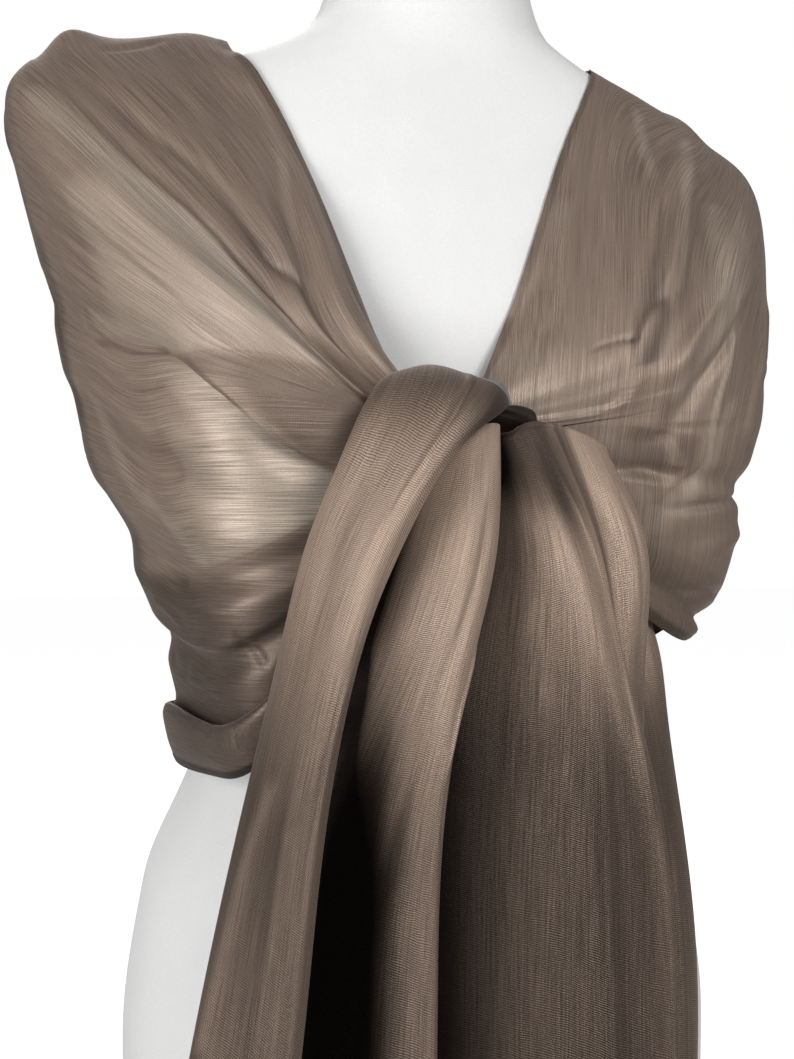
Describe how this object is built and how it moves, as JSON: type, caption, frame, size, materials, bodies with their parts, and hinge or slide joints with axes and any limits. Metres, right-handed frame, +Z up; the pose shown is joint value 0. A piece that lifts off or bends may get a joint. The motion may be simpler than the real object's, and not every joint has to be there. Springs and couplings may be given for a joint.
{
  "type": "evening stole on dress form",
  "caption": "Fine plain-hemmed evening stole worn round a limbless dress form, over both shoulders and tied on the chest with its tails hanging.",
  "frame": {"origin": "centre of the dress form's flat underside, which stands on the surface below it", "axes": "+Z up, -Y towards the front of the form where the stole is tied, +X towards the wearer's left"},
  "size_m": [0.4417, 0.3392, 0.79],
  "materials": {
    "form_velvet": "short matt white pile stretched smooth over the form",
    "stole_cloth": "fine half-sheer twill in taupe brown with a soft sheen and faint uneven yarns"
  },
  "bodies": {
    "root": {"dress_form": "form_velvet", "stole_back": "stole_cloth", "stole_right_front": "stole_cloth", "stole_left_front": "stole_cloth", "knot_roll": "stole_cloth", "tail_right_outer": "stole_cloth", "tail_right_inner": "stole_cloth", "tail_left_main": "stole_cloth", "tail_left_side": "stole_cloth"}
  },
  "joints": []
}
